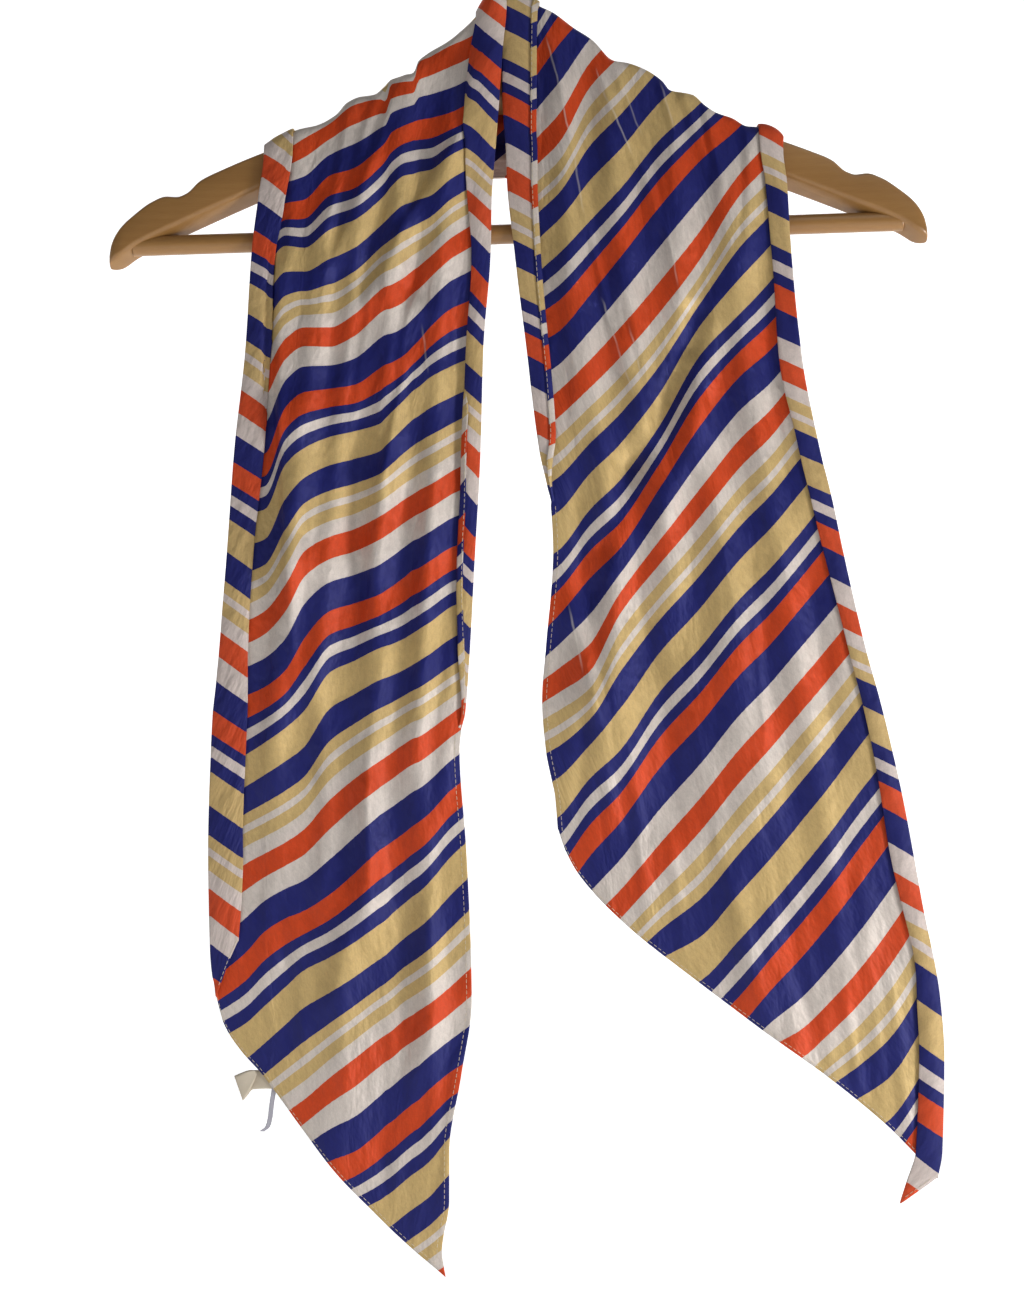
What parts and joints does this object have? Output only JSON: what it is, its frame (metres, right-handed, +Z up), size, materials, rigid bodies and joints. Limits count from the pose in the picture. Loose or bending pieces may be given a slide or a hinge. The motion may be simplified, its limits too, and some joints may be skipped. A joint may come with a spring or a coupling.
{
  "type": "scarf on a wooden clothes hanger",
  "caption": "Long diagonal-striped satin scarf draped over a wooden hanger, slant-cut ends hanging in front, edges folded over.",
  "frame": {"origin": "inside of the hook's crown, where a rail holds the hanger", "axes": "+Z up, -Y the front that shows the hanging ends, +X to the right seen from the front"},
  "size_m": [0.4508, 0.0408, 0.7637],
  "materials": {
    "satin_face": "printed satin, navy, orange-red, white and gold diagonal stripes",
    "satin_reverse": "duller reverse of the same printed cloth",
    "label_tape": "bare cream woven tape",
    "hanger_wood": "satin clear lacquer on pale wood",
    "hook_wire": "bright wire"
  },
  "bodies": {
    "root": {"left_panel": "satin_face", "left_outer_fold": "satin_reverse", "left_inner_fold": "satin_reverse", "right_panel": "satin_face", "right_inner_fold": "satin_reverse", "right_outer_fold": "satin_reverse", "nape": "satin_face", "sewn_label": "label_tape", "label_tail": "label_tape", "hanger_yoke": "hanger_wood", "hanger_bar": "hanger_wood", "hanger_hook": "hook_wire"}
  },
  "joints": []
}
